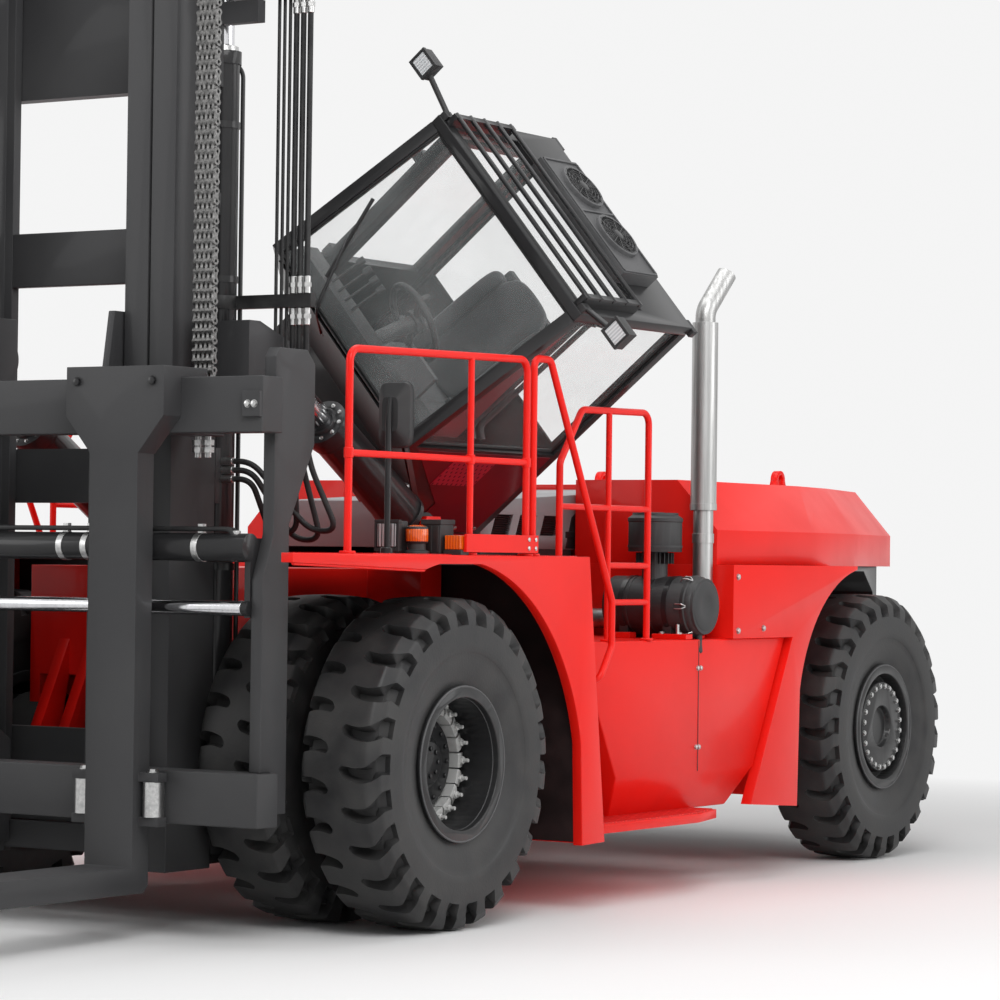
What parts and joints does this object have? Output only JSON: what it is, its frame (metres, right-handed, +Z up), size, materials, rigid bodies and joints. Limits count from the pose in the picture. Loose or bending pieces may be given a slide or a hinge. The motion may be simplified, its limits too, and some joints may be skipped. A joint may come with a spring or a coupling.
{
  "type": "counterbalance forklift",
  "caption": "Heavy counterbalance forklift with twin front tyres, two-stage mast, sliding forks, steered rear wheels and a cab that rolls over sideways for service.",
  "frame": {"origin": "middle of the footprint, on the floor", "axes": "+X to the truck's left, -Y forwards, +Z up"},
  "size_m": [3.9182, 9.6698, 4.8517],
  "materials": {
    "red_paint": "gloss enamel",
    "charcoal_paint": "satin enamel",
    "black_paint": "satin black enamel",
    "tyre_rubber": "matt, moulded",
    "rim_paint": "satin black",
    "cast_steel": "rough cast, painted dark",
    "chrome": "hard chromed",
    "oiled_steel": "oiled steel plates",
    "stack_steel": "dull tube",
    "grey_panel": "satin grey enamel",
    "black_plastic": "moulded grain",
    "glass": "clear, faint tint",
    "hose_rubber": "matt",
    "seat_cloth": "woven cloth",
    "lamp_amber": "clear moulded",
    "mirror_back": "smooth moulded"
  },
  "bodies": {
    "chassis": {"chassis_frame": "red_paint", "frame_brackets": "red_paint", "front_fenders": "red_paint", "side_panels": "red_paint", "steps": "red_paint", "rear_fenders": "red_paint", "counterweight": "red_paint", "handrails": "red_paint", "drive_axle": "cast_steel", "steer_axle": "cast_steel", "engine_block": "cast_steel", "engine_bay": "black_paint", "counterweight_base": "black_paint", "exhaust_stack": "stack_steel", "air_cleaner": "black_plastic", "deck_lamps": "lamp_amber", "mirrors": "mirror_back"},
    "front_wheels_left": {"front_wheels_left": "rim_paint", "front_tyres_left": "tyre_rubber"},
    "front_wheels_right": {"front_wheels_right": "rim_paint", "front_tyres_right": "tyre_rubber"},
    "knuckle_left": {"knuckle_left": "cast_steel"},
    "knuckle_right": {"knuckle_right": "cast_steel"},
    "rear_wheel_left": {"rear_wheel_left": "rim_paint", "rear_tyre_left": "tyre_rubber"},
    "rear_wheel_right": {"rear_wheel_right": "rim_paint", "rear_tyre_right": "tyre_rubber"},
    "outer_mast": {"outer_mast": "charcoal_paint", "outer_crossmembers": "charcoal_paint", "lift_cylinders": "black_paint", "mast_hoses": "hose_rubber"},
    "inner_mast": {"inner_mast": "charcoal_paint", "inner_crossmembers": "charcoal_paint", "lift_rods": "chrome", "chain_sheaves": "oiled_steel", "lift_chains_front": "oiled_steel", "lift_chains_rear": "oiled_steel"},
    "carriage": {"carriage_beams": "charcoal_paint", "carriage_plates": "charcoal_paint", "fork_positioner": "charcoal_paint"},
    "fork_left": {"fork_left": "charcoal_paint"},
    "fork_right": {"fork_right": "charcoal_paint"},
    "tilt_barrel_left": {"tilt_barrel_left": "black_paint"},
    "tilt_barrel_right": {"tilt_barrel_right": "black_paint"},
    "tilt_rod_left": {"tilt_rod_left": "chrome"},
    "tilt_rod_right": {"tilt_rod_right": "chrome"},
    "cab": {"cab_floor": "black_paint", "cab_frame": "black_paint", "cab_roof": "black_paint", "cab_glass": "glass", "cab_seat": "seat_cloth", "cab_console": "black_plastic", "roof_guard": "black_paint", "roof_aircon": "black_plastic", "roof_lamps": "black_plastic"},
    "cab_door": {"cab_door": "black_paint", "cab_door_glass": "glass"},
    "engine_hood": {"engine_hood": "grey_panel"}
  },
  "joints": [
    {"name": "front_left_spin", "type": "hinge", "parent": "chassis", "child": "front_wheels_left", "pos_m": [1.31595, -1.135, 0.7465], "axis": [1, 0, 0], "continuous": true},
    {"name": "front_right_spin", "type": "hinge", "parent": "chassis", "child": "front_wheels_right", "pos_m": [-1.74405, -1.135, 0.7465], "axis": [1, 0, 0], "continuous": true},
    {"name": "steer_left", "type": "hinge", "parent": "chassis", "child": "knuckle_left", "pos_m": [0.90095, 3.627, 0.7465], "axis": [0, 0, 1], "range_deg": [-50, 50]},
    {"name": "steer_right", "type": "hinge", "parent": "chassis", "child": "knuckle_right", "pos_m": [-1.32905, 3.627, 0.7465], "axis": [0, 0, 1], "range_deg": [-50, 50]},
    {"name": "rear_left_spin", "type": "hinge", "parent": "knuckle_left", "child": "rear_wheel_left", "pos_m": [1.09595, 3.627, 0.7465], "axis": [1, 0, 0], "continuous": true},
    {"name": "rear_right_spin", "type": "hinge", "parent": "knuckle_right", "child": "rear_wheel_right", "pos_m": [-1.52405, 3.627, 0.7465], "axis": [1, 0, 0], "continuous": true},
    {"name": "mast_tilt", "type": "hinge", "parent": "chassis", "child": "outer_mast", "pos_m": [-0.21405, -1.465, 0.64], "axis": [1, 0, 0], "range_deg": [-10, 5]},
    {"name": "mast_lift", "type": "slide", "parent": "outer_mast", "child": "inner_mast", "axis": [0, 0, 1], "range_m": [0, 2]},
    {"name": "carriage_lift", "type": "slide", "parent": "inner_mast", "child": "carriage", "axis": [0, 0, 1], "range_m": [0, 2], "deforming": ["lift_chains_front"]},
    {"name": "fork_left_shift", "type": "slide", "parent": "carriage", "child": "fork_left", "axis": [1, 0, 0], "range_m": [-0.44, 0.3]},
    {"name": "fork_right_shift", "type": "slide", "parent": "carriage", "child": "fork_right", "axis": [-1, 0, 0], "range_m": [-0.44, 0.3]},
    {"name": "tilt_barrel_left_swing", "type": "hinge", "parent": "chassis", "child": "tilt_barrel_left", "pos_m": [0.66095, -0.265, 1.8], "axis": [1, 0, 0], "range_deg": [-12, 8]},
    {"name": "tilt_rod_left_slide", "type": "slide", "parent": "tilt_barrel_left", "child": "tilt_rod_left", "axis": [0, -0.8519, 0.5237], "range_m": [-0.34, 0.18]},
    {"name": "tilt_barrel_right_swing", "type": "hinge", "parent": "chassis", "child": "tilt_barrel_right", "pos_m": [-1.08905, -0.265, 1.8], "axis": [1, 0, 0], "range_deg": [-12, 8]},
    {"name": "tilt_rod_right_slide", "type": "slide", "parent": "tilt_barrel_right", "child": "tilt_rod_right", "axis": [0, -0.8519, 0.5237], "range_m": [-0.34, 0.18]},
    {"name": "cab_tilt", "type": "hinge", "parent": "chassis", "child": "cab", "pos_m": [0.35595, 0.265, 1.725], "axis": [0, -1, 0], "range_deg": [0, 50.5]},
    {"name": "cab_door_swing", "type": "hinge", "parent": "cab", "child": "cab_door", "pos_m": [0.16034, -0.182, 3.22], "axis": [0.7716, 0, 0.6361], "range_deg": [0, 85]},
    {"name": "hood_lift", "type": "hinge", "parent": "chassis", "child": "engine_hood", "pos_m": [-0.21405, 2.589, 2.075], "axis": [-1, 0, 0], "range_deg": [0, 60]}
  ],
  "couplings": [
    {"joint": "steer_right", "follows": "steer_left", "ratio": 1},
    {"joint": "carriage_lift", "follows": "mast_lift", "ratio": 1},
    {"joint": "tilt_barrel_left_swing", "follows": "mast_tilt", "ratio": 0.74296},
    {"joint": "tilt_rod_left_slide", "follows": "mast_tilt", "m_per_rad": 1.631},
    {"joint": "tilt_barrel_right_swing", "follows": "mast_tilt", "ratio": 0.74296},
    {"joint": "tilt_rod_right_slide", "follows": "mast_tilt", "m_per_rad": 1.631}
  ]
}
